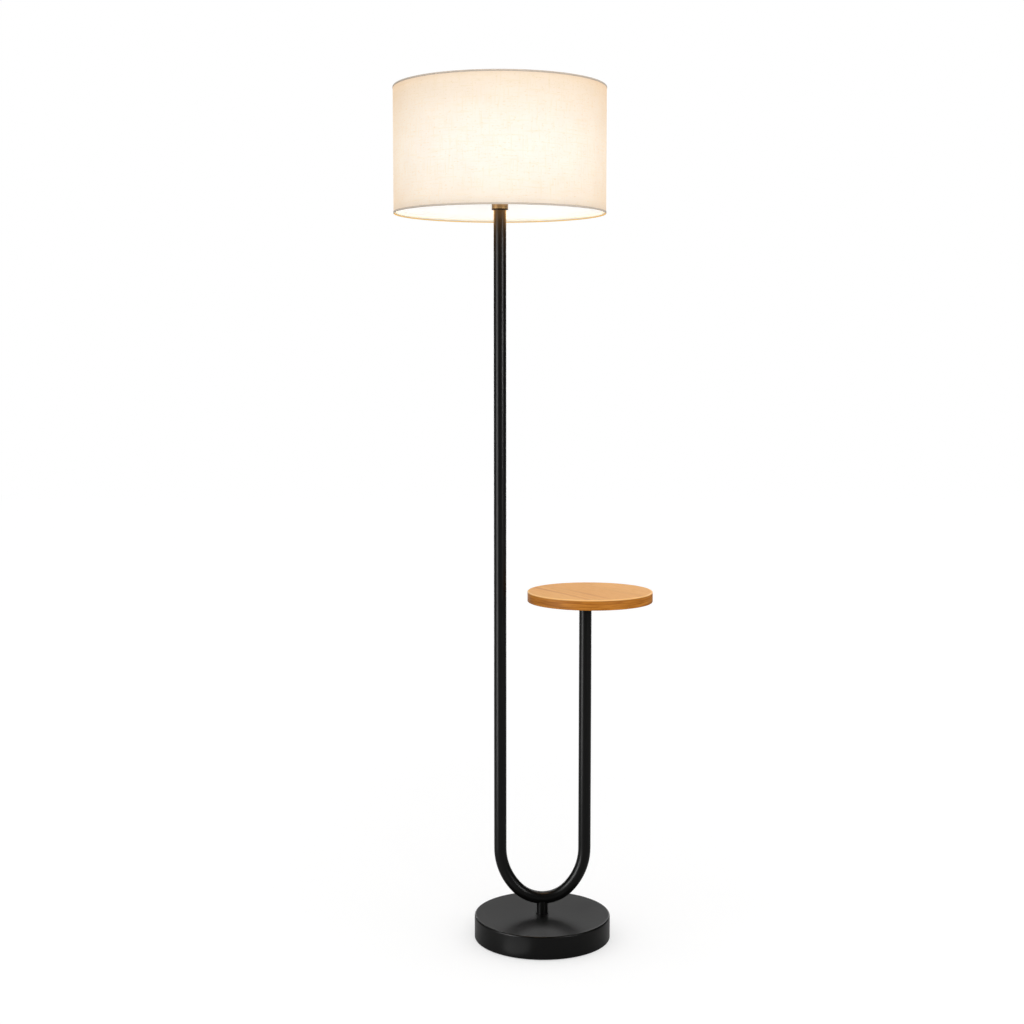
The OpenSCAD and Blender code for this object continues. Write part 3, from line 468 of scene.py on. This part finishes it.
# Brass, turned and lacquered: fine tool lines run round it and spread its highlight. They are drawn 0.5 mm apart,
# where real ones are 0.1 mm apart.
brass, tree, place = finish("brass_turned_lacquered")
tool = add(tree, "Mapping", {"Vector": place, "Scale": (0.02, 0.02, 1)})
lathe = add(tree, "TexNoise", {"Vector": tool, "Scale": 1 / (0.5 * MM), "Detail": 2})
patina = add(tree, "TexNoise", {"Vector": place, "Scale": 1 / (9 * MM), "Detail": 3})
add(tree, "OutputMaterial", {"Surface": add(tree, "BsdfPrincipled", {
    "Base Color": add(tree, "Mix", {0: patina, 6: colour("#a98047"), 7: colour("#c29a5f")}, 2, data_type="RGBA"),
    "Metallic": 1, "Roughness": add(tree, "MapRange", {"Value": lathe, "To Min": 0.24, "To Max": 0.38}),
    "Normal": add(tree, "Bump", {"Height": lathe, "Distance": 0.01 * MM, "Strength": 0.4})})})
dress(brass, "socket_cap", "socket_shell", "harp", "harp_saddle", "ferrule_left", "ferrule_right",
      "finial", "screw_shell", "centre_contact", "terminal_screw_1")

# Brass, turned and browned: the collar is a darker brass, with shade painted dark at its lower lip and into its groove
collar_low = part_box("collar")[0]
LIP_SHADE_DARKEST, LIP_SHADE_END = 1.2 * MM, 2.6 * MM  # heights above the lower lip, where the painted shade is darkest and where it ends
GROOVE, GROOVE_HALF = 5.4 * MM, 0.6 * MM  # the groove's height above the lower lip, and half its width
brown_brass, tree, place = finish("brass_turned_browned")
z = add(tree, "SeparateXYZ", {"Vector": place}, "Z")
tool = add(tree, "Mapping", {"Vector": place, "Scale": (0.02, 0.02, 1)})
lathe = add(tree, "TexNoise", {"Vector": tool, "Scale": 1 / (0.5 * MM), "Detail": 2})
# painted shade: darkest at the lower lip where the collar meets the post, and lighter in the groove
lip = add(tree, "MapRange", {"Value": z, "From Min": collar_low.z + LIP_SHADE_DARKEST, "From Max": collar_low.z + LIP_SHADE_END})
groove = add(tree, "MapRange", {
    "Value": add(tree, "Math", {0: z, 1: collar_low.z + GROOVE, 2: GROOVE_HALF}, operation="COMPARE"),
    "To Min": 1, "To Max": 0.6})
unshaded = add(tree, "Math", {0: lip, 1: groove}, operation="MULTIPLY")
add(tree, "OutputMaterial", {"Surface": add(tree, "BsdfPrincipled", {
    "Base Color": add(tree, "Mix", {0: unshaded, 6: colour("#33261a"), 7: colour("#9a7a52")}, 2, data_type="RGBA"),
    "Metallic": 1, "Roughness": add(tree, "MapRange", {"Value": lathe, "To Min": 0.26, "To Max": 0.4}),
    "Normal": add(tree, "Bump", {"Height": lathe, "Distance": 0.01 * MM, "Strength": 0.4})})})
dress(brown_brass, "collar")

# Steel, nickel plated, a shade warmer than zinc
nickel, tree, place = finish("steel_nickel_plated")
haze = add(tree, "TexNoise", {"Vector": place, "Scale": 1 / (4 * MM), "Detail": 2})
add(tree, "OutputMaterial", {"Surface": add(tree, "BsdfPrincipled", {
    "Base Color": add(tree, "Mix", {0: haze, 6: colour("#b9b4a8"), 7: colour("#d0ccc0")}, 2, data_type="RGBA"),
    "Metallic": 1, "Roughness": add(tree, "MapRange", {"Value": haze, "To Min": 0.2, "To Max": 0.32})})})
dress(nickel, "top_nipple", "terminal_screw_2")

# Vulcanised card, tan, with a fibrous face
card, tree, place = finish("card_vulcanised_tan")
pulp = add(tree, "TexNoise", {"Vector": place, "Scale": 1 / (1.5 * MM), "Detail": 4})
add(tree, "OutputMaterial", {"Surface": add(tree, "BsdfPrincipled", {
    "Base Color": add(tree, "Mix", {0: pulp, 6: colour("#a08a62"), 7: colour("#c2ae88")}, 2, data_type="RGBA"),
    "Roughness": 0.85})})
dress(card, "socket_liner")

# Phenolic, moulded, dark brown and glossy, with the swirl of its filler
phenolic, tree, place = finish("phenolic_moulded_brown")
swirl = add(tree, "TexNoise", {"Vector": place, "Scale": 1 / (6 * MM), "Detail": 3, "Distortion": 2})
add(tree, "OutputMaterial", {"Surface": add(tree, "BsdfPrincipled", {
    "Base Color": add(tree, "Mix", {0: swirl, 6: colour("#1e1713"), 7: colour("#33271f")}, 2, data_type="RGBA"),
    "Roughness": 0.3})})
dress(phenolic, "socket_body")

# Phenolic, moulded, black, its gloss worn by fingers
knob_black, tree, place = finish("phenolic_moulded_black")
wear = add(tree, "TexNoise", {"Vector": place, "Scale": 1 / (2.5 * MM), "Detail": 3})
add(tree, "OutputMaterial", {"Surface": add(tree, "BsdfPrincipled", {
    "Base Color": add(tree, "Mix", {0: wear, 6: colour("#0f0e0e"), 7: colour("#1c1a19")}, 2, data_type="RGBA"),
    "Roughness": add(tree, "MapRange", {"Value": wear, "To Min": 0.28, "To Max": 0.45})})})
dress(knob_black, "switch_knob")

# PVC jacket, extruded, dark grey and slightly uneven
jacket, tree, place = finish("pvc_jacket_extruded")
drawn = add(tree, "TexNoise", {"Vector": place, "Scale": 1 / (5 * MM), "Detail": 2})
add(tree, "OutputMaterial", {"Surface": add(tree, "BsdfPrincipled", {
    "Base Color": add(tree, "Mix", {0: drawn, 6: colour("#262626"), 7: colour("#343434")}, 2, data_type="RGBA"),
    "Roughness": 0.5})})
dress(jacket, "inner_lead", "lead_wire_1", "lead_wire_2")


# ---------------------------------------------------------------- bulb
# A glass globe, frosted inside, is cemented into a nickel-plated screw cap with a black glass insulator.
# It burns, so the globe lights the inside of the shade.

bulb_low, bulb_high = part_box("bulb_globe")
DIM_NECK = 40 * MM  # height of the globe's neck, over which its light rises

# Glass, acid frosted, lit: even warm white that drops towards the neck
frosted, tree, place = finish("glass_frosted_lit")
frost = add(tree, "TexNoise", {"Vector": place, "Scale": 1 / (2 * MM), "Detail": 2})
up = add(tree, "SeparateXYZ", {"Vector": place}, "Z")
add(tree, "OutputMaterial", {"Surface": add(tree, "BsdfPrincipled", {
    "Base Color": add(tree, "Mix", {0: frost, 6: colour("#f4f1ea"), 7: colour("#fffdf8")}, 2, data_type="RGBA"),
    "Roughness": 0.35, "Emission Color": colour("#fff1de"),
    "Emission Strength": add(tree, "MapRange", {
        "Value": up, "From Min": bulb_low.z, "From Max": bulb_low.z + DIM_NECK, "To Min": 0.8, "To Max": 3.2})})})
dress(frosted, "bulb_globe")
dress(nickel, "bulb_cap", "bulb_contact")

# Vitrified glass, black
vitrite, tree, place = finish("glass_insulator_black")
run = add(tree, "TexNoise", {"Vector": place, "Scale": 1 / (3 * MM), "Detail": 2})
add(tree, "OutputMaterial", {"Surface": add(tree, "BsdfPrincipled", {
    "Base Color": add(tree, "Mix", {0: run, 6: colour("#0c0c0d"), 7: colour("#1a191b")}, 2, data_type="RGBA"),
    "Roughness": 0.15})})
dress(vitrite, "bulb_insulator")


# ---------------------------------------------------------------- shade's wires
# Two steel rings hold the drum round. Three arms under the upper ring meet in a washer on the harp's stud.
# Rings and arms are steel wire, bent, spot welded and coated white.

# Powder coat, white, on welded steel wire, with a warm glow painted on for the bulb's light
wire_white, tree, place = finish("powder_coat_white_wire")
film = add(tree, "TexNoise", {"Vector": place, "Scale": 1 / (1.2 * MM), "Detail": 2})
add(tree, "OutputMaterial", {"Surface": add(tree, "BsdfPrincipled", {
    "Base Color": add(tree, "Mix", {0: film, 6: colour("#dfdcd4"), 7: colour("#ebe8e1")}, 2, data_type="RGBA"),
    "Roughness": 0.4, "Emission Color": colour("#ffedcc"), "Emission Strength": 0.25,
    "Normal": add(tree, "Bump", {"Height": film, "Distance": 0.02 * MM, "Strength": 0.3})})})
dress(wire_white, "shade_spider", "shade_top_ring", "shade_bottom_ring")


# ---------------------------------------------------------------- linen drum
# Linen is laminated on a stiff white liner, rolled to a drum and lapped by 10 mm at the back. Thick slubs of yarn stand
# in its weave. The bulb's light through the cloth is painted on as a glow, brightest at the bulb's own height.

drum_low, drum_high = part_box("shade_drum")
drum_x = (drum_low.x + drum_high.x) / 2
drum_r = (drum_high.x - drum_low.x) / 2
WALL = 0.8 * MM  # liner and cloth
GLOW_Z = bulb_high.z - 72 * MM  # height of the brightest band
FALL = -0.75  # power by which the glow falls off with the distance
THREAD = 3.4 * MM  # the real threads are 0.5 mm, too fine to show, so they are drawn coarser
LAP = 10 * MM
LAP_DIM = 0.9  # what the double cloth still lets through
FACETS = 256  # round the drum and round its tapes

# Shares of red, green and blue of the painted glow that come through, in linear light
PAINTED_GLOW_FAR = (0.475, 0.50, 0.51, 1)  # the cloth far from the bulb's height
PAINTED_GLOW_NEAR = (0.565, 0.68, 0.785, 1)  # the cloth level with the bulb
FLECK = (0.86, 0.82, 0.68, 1)
THICK_THREAD = (0.93, 0.925, 0.84, 1)
SLUB = (0.87, 0.81, 0.66, 1)
NO_YARN = (1, 1, 1, 1)
AT_A_SLANT = (1.0, 0.91, 0.815, 1)


def linen(name, veil):
    """Linen with the bulb's light through it painted on as a glow; the veil is what a thicker yarn lets through."""
    made, tree, place = finish(name)
    about = add(tree, "Mapping", {"Vector": place, "Location": (drum_x, 0, 0)}, vector_type="TEXTURE")
    x = add(tree, "SeparateXYZ", {"Vector": about}, "X")
    y = add(tree, "SeparateXYZ", {"Vector": about}, "Y")
    z = add(tree, "SeparateXYZ", {"Vector": about}, "Z")
    turn = add(tree, "Math", {0: x, 1: add(tree, "Math", {0: y, 1: -1}, operation="MULTIPLY")}, operation="ARCTAN2")
    run = add(tree, "Math", {0: turn, 1: drum_r}, operation="MULTIPLY")
    cloth = add(tree, "CombineXYZ", {"X": run, "Y": z})
    weft = add(tree, "TexNoise", {
        "Vector": add(tree, "Mapping", {"Vector": cloth, "Scale": (0.08, 1, 1)}),
        "Scale": 1 / THREAD, "Detail": 3, "Roughness": 0.6})
    warp = add(tree, "TexNoise", {
        "Vector": add(tree, "Mapping", {"Vector": cloth, "Scale": (1, 0.1, 1)}),
        "Scale": 1 / THREAD, "Detail": 3, "Roughness": 0.6})
    weave = add(tree, "Math", {0: weft, 1: warp}, operation="ADD")
    fleck = add(tree, "TexNoise", {
        "Vector": add(tree, "Mapping", {"Vector": cloth, "Scale": (0.45, 1, 1)}),
        "Scale": 1 / (2.6 * MM), "Detail": 1})
    dense = add(tree, "TexNoise", {"Vector": cloth, "Scale": 1 / (38 * MM), "Detail": 3})

    # the painted glow is brightest at the bulb's height and falls off with the distance, blue first
    drop = add(tree, "Math", {
        0: add(tree, "Math", {0: z, 1: GLOW_Z}, operation="SUBTRACT"), 1: drum_r}, operation="DIVIDE")
    near = add(tree, "Math", {
        0: add(tree, "Math", {0: drop, 1: drop, 2: 1.0}, operation="MULTIPLY_ADD"), 1: FALL}, operation="POWER")
    through = add(tree, "Mix", {
        0: add(tree, "MapRange", {"Value": near, "From Min": 0.78, "From Max": 1.0}),
        6: PAINTED_GLOW_FAR, 7: PAINTED_GLOW_NEAR}, 2, data_type="RGBA")
    flecked = add(tree, "Mix", {
        0: add(tree, "MapRange", {"Value": fleck, "From Min": 0.62, "From Max": 0.72, "To Max": 0.8}),
        6: through, 7: FLECK}, 2, data_type="RGBA", blend_type="MULTIPLY")
    threaded = add(tree, "Mix", {
        0: add(tree, "MapRange", {
            "Value": add(tree, "Math", {0: weft, 1: warp}, operation="MAXIMUM"), "From Min": 0.53, "From Max": 0.7}),
        6: flecked, 7: THICK_THREAD}, 2, data_type="RGBA", blend_type="MULTIPLY")
    veiled = add(tree, "Mix", {0: 1.0, 6: threaded, 7: veil}, 2, data_type="RGBA", blend_type="MULTIPLY")

    # its density drifts, each thread stops some light, and the lap at the back is double
    drifting = add(tree, "MapRange", {"Value": dense, "From Min": 0.3, "From Max": 0.7, "To Min": 0.97, "To Max": 1.03})
    threads = add(tree, "MapRange", {"Value": weave, "From Min": 0.7, "From Max": 1.3, "To Min": 1.06, "To Max": 0.94})
    double = add(tree, "MapRange", {
        "Value": add(tree, "Math", {0: run}, operation="ABSOLUTE"), "From Min": math.pi * drum_r - LAP / 2 - 0.2 * MM,
        "From Max": math.pi * drum_r - LAP / 2, "To Min": 1, "To Max": LAP_DIM})
    power = add(tree, "Math", {0: drifting, 1: threads}, operation="MULTIPLY")

    # the coat's tint is the cloth's own thickness: light that leaves at a slant has crossed more of it
    add(tree, "OutputMaterial", {"Surface": add(tree, "BsdfPrincipled", {
        "Base Color": add(tree, "Mix", {
            0: add(tree, "MapRange", {"Value": weave, "From Min": 0.75, "From Max": 1.25}),
            6: colour("#b5a28a"), 7: colour("#c0ae97")}, 2, data_type="RGBA"),
        "Roughness": 0.9, "Specular IOR Level": 0.2,
        "Coat Weight": 1.0, "Coat Roughness": 1.0, "Coat IOR": 1.1, "Coat Tint": AT_A_SLANT,
        "Normal": add(tree, "Bump", {"Height": weave, "Distance": 0.15 * MM, "Strength": 0.5}),
        "Emission Color": veiled,
        "Emission Strength": add(tree, "Math", {0: power, 1: double}, operation="MULTIPLY")})})
    return made


plain_weave = linen("linen_plain_weave_lit", NO_YARN)
slub_yarn = linen("linen_slub_yarn_lit", SLUB)

# Styrene liner, white, with a glow painted on for the bulb's light thrown back and forth, a little stronger at its
# lower edge, so it looks nearly white all over
liner, tree, place = finish("styrene_liner_lit")
press = add(tree, "TexNoise", {"Vector": place, "Scale": 1 / (8 * MM), "Detail": 2})
add(tree, "OutputMaterial", {"Surface": add(tree, "BsdfPrincipled", {
    "Base Color": add(tree, "Mix", {0: press, 6: colour("#f0efec"), 7: colour("#f8f7f5")}, 2, data_type="RGBA"),
    "Roughness": 0.55, "Emission Color": colour("#f2f5f8"),
    "Emission Strength": add(tree, "MapRange", {
        "Value": add(tree, "SeparateXYZ", {"Vector": place}, "Z"),
        "From Min": drum_low.z, "From Max": drum_low.z + 60 * MM, "To Min": 0.34, "To Max": 0.22},
        interpolation_type="SMOOTHSTEP")})})

drum_sizes = {"Radius": drum_r, "Wall": WALL, "Bottom": drum_low.z, "Top": drum_high.z, "Axis": drum_x}
tree, size = sized("rolled_drum", drum_sizes)
height = add(tree, "Math", {0: size["Top"], 1: size["Bottom"]}, operation="SUBTRACT")
middle = add(tree, "Math", {
    0: add(tree, "Math", {0: size["Top"], 1: size["Bottom"]}, operation="ADD"), 1: 0.5}, operation="MULTIPLY")
centre_r = add(tree, "Math", {
    0: size["Radius"], 1: add(tree, "Math", {0: size["Wall"], 1: 0.5}, operation="MULTIPLY")}, operation="SUBTRACT")
section = add(tree, "GeometryNodeSubdivideCurve", {
    "Curve": add(tree, "GeometryNodeCurvePrimitiveQuadrilateral", {"Width": size["Wall"], "Height": height}),
    "Cuts": 11})
wall = add(tree, "GeometryNodeTransform", {
    "Geometry": add(tree, "GeometryNodeCurveToMesh", {
        "Curve": add(tree, "GeometryNodeCurvePrimitiveCircle", {"Resolution": FACETS, "Radius": centre_r}),
        "Profile Curve": section}),
    "Translation": add(tree, "CombineXYZ", {"X": size["Axis"], "Z": middle})})
from_axis = add(tree, "VectorMath", {
    0: add(tree, "GeometryNodeInputPosition"), 1: add(tree, "CombineXYZ", {"X": size["Axis"]})}, operation="SUBTRACT")
out_from_axis = add(tree, "VectorMath", {
    0: add(tree, "VectorMath", {0: from_axis, 1: (1, 1, 0)}, operation="MULTIPLY")}, operation="LENGTH", out="Value")
outside = add(tree, "FunctionNodeCompare", {0: out_from_axis, 1: centre_r}, operation="GREATER_THAN")
wall = add(tree, "GeometryNodeSetMaterial", {"Geometry": wall, "Material": liner})
wall = add(tree, "GeometryNodeSetMaterial", {"Geometry": wall, "Selection": outside, "Material": plain_weave})
drum = grown("linen_drum", tree, drum_sizes, wall)
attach(drum, "shade")
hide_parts("shade_drum")

# Slubs: short swellings of the yarn, most of them along the weft, and more than half sunk in the cloth.
# They are drawn thicker than the real 0.5 mm.
slub_sizes = {
    "Radius": drum_r - 0.25 * MM, "Bottom": drum_low.z + 8 * MM, "Top": drum_high.z - 8 * MM, "Axis": drum_x,
    "Long": 7 * MM, "Thick": 0.9 * MM, "Thin end": 0.12, "Upright share": 0.25, "Count": 340}
tree, size = sized("slub_yarns", slub_sizes)
turn = add(tree, "FunctionNodeRandomValue", {2: 0.0, 3: 2 * math.pi, 8: 1}, 1, data_type="FLOAT")
height = add(tree, "FunctionNodeRandomValue", {2: size["Bottom"], 3: size["Top"], 8: 2}, 1, data_type="FLOAT")
east, north = [
    add(tree, "Math", {0: add(tree, "Math", {0: turn}, operation=wave), 1: size["Radius"]}, operation="MULTIPLY")
    for wave in ("SINE", "COSINE")]
knots = add(tree, "GeometryNodePoints", {"Count": size["Count"], "Position": add(tree, "CombineXYZ", {
    "X": add(tree, "Math", {0: east, 1: size["Axis"]}, operation="ADD"),
    "Y": add(tree, "Math", {0: north, 1: -1}, operation="MULTIPLY"), "Z": height})})
spine = add(tree, "GeometryNodeResampleCurve", {
    "Curve": add(tree, "GeometryNodeCurvePrimitiveLine", {"Start": (-0.5, 0, 0), "End": (0.5, 0, 0)}), "Count": 5})
half_turn = add(tree, "Math", {0: add(tree, "GeometryNodeSplineParameter"), 1: math.pi}, operation="MULTIPLY")
swell = add(tree, "Math", {0: half_turn}, operation="SINE")
yarn = add(tree, "GeometryNodeCurveToMesh", {
    "Curve": spine, "Profile Curve": add(tree, "GeometryNodeCurvePrimitiveCircle", {"Resolution": 5, "Radius": 0.5}),
    "Scale": add(tree, "Math", {0: swell, 1: size["Thin end"]}, operation="MAXIMUM"), "Fill Caps": True})
chance = add(tree, "FunctionNodeRandomValue", {2: 0.0, 3: 1.0, 8: 3}, 1, data_type="FLOAT")
upright = add(tree, "Math", {0: chance, 1: size["Upright share"]}, operation="LESS_THAN")
askew = add(tree, "FunctionNodeRandomValue", {2: -0.08, 3: 0.08, 8: 5}, 1, data_type="FLOAT")
tilt = add(tree, "Math", {0: upright, 1: math.pi / 2, 2: askew}, operation="MULTIPLY_ADD")
long = add(tree, "Math", {
    0: add(tree, "FunctionNodeRandomValue", {2: 0.4, 3: 1.4, 8: 6}, 1, data_type="FLOAT"), 1: size["Long"]},
    operation="MULTIPLY")
woven_in = add(tree, "GeometryNodeInstanceOnPoints", {
    "Points": knots, "Instance": yarn, "Rotation": add(tree, "CombineXYZ", {"Y": tilt, "Z": turn}),
    "Scale": add(tree, "CombineXYZ", {"X": long, "Y": size["Thick"], "Z": size["Thick"]})})
woven_in = add(tree, "GeometryNodeSetMaterial", {
    "Geometry": add(tree, "GeometryNodeRealizeInstances", {"Geometry": woven_in}), "Material": slub_yarn})
slubs = grown("linen_slubs", tree, slub_sizes, woven_in)
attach(slubs, "shade")


# ---------------------------------------------------------------- edge tapes
# A linen tape is folded over each edge of the drum and glued. It blocks the light, so outside it reads as a thin
# grey-brown line, and inside a warm glow is painted on it.

# Linen tape, folded, unlit side
tape, tree, place = finish("linen_tape_folded")
ribs = add(tree, "TexNoise", {"Vector": place, "Scale": 1 / (1 * MM), "Detail": 2})
add(tree, "OutputMaterial", {"Surface": add(tree, "BsdfPrincipled", {
    "Base Color": add(tree, "Mix", {0: ribs, 6: colour("#c0b0a0"), 7: colour("#d2c5b5")}, 2, data_type="RGBA"),
    "Roughness": 0.9, "Normal": add(tree, "Bump", {"Height": ribs, "Distance": 0.1 * MM, "Strength": 0.5})})})

# The same tape on the bulb's side, a lit copy with the bulb's warm light painted on as a glow
tape_glow, tree, place = finish("linen_tape_folded_lit")
ribs = add(tree, "TexNoise", {"Vector": place, "Scale": 1 / (1 * MM), "Detail": 2})
add(tree, "OutputMaterial", {"Surface": add(tree, "BsdfPrincipled", {
    "Base Color": colour("#c9a660"), "Roughness": 0.9,
    "Emission Color": add(tree, "Mix", {0: ribs, 6: colour("#dfb35e"), 7: colour("#efc87a")}, 2, data_type="RGBA"),
    "Emission Strength": 0.5})})

TAPE = 0.4 * MM  # its thickness
DEEP = 3 * MM  # how far it reaches over each face


def folded_tape(name, node, edge, way):
    """A tape folded over the drum's edge; way is -1 where the drum hangs below the edge and 1 where it stands above."""
    outer, inner, fold = drum_r + TAPE, drum_r - WALL - TAPE, 0.5 * MM
    points = [
        (outer, DEEP, 0), (outer, 1.5 * MM, 0), (outer, fold, 0), (outer - fold, 0, 0), (inner + fold, 0, 1),
        (inner, fold, 1), (inner, 1.5 * MM, 1), (inner, DEEP, 1), (inner + TAPE, DEEP, 1), (inner + TAPE, TAPE, 1),
        (drum_r, TAPE, 0), (drum_r, DEEP, 0)]
    piece = turned(name, [(r, edge + way * up, skin) for r, up, skin in points], drum_x, [tape, tape_glow], FACETS)
    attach(piece, "shade")
    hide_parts(node)


folded_tape("upper_tape", "top_trim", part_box("top_trim")[1].z, -1)
folded_tape("lower_tape", "bottom_trim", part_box("bottom_trim")[0].z, 1)
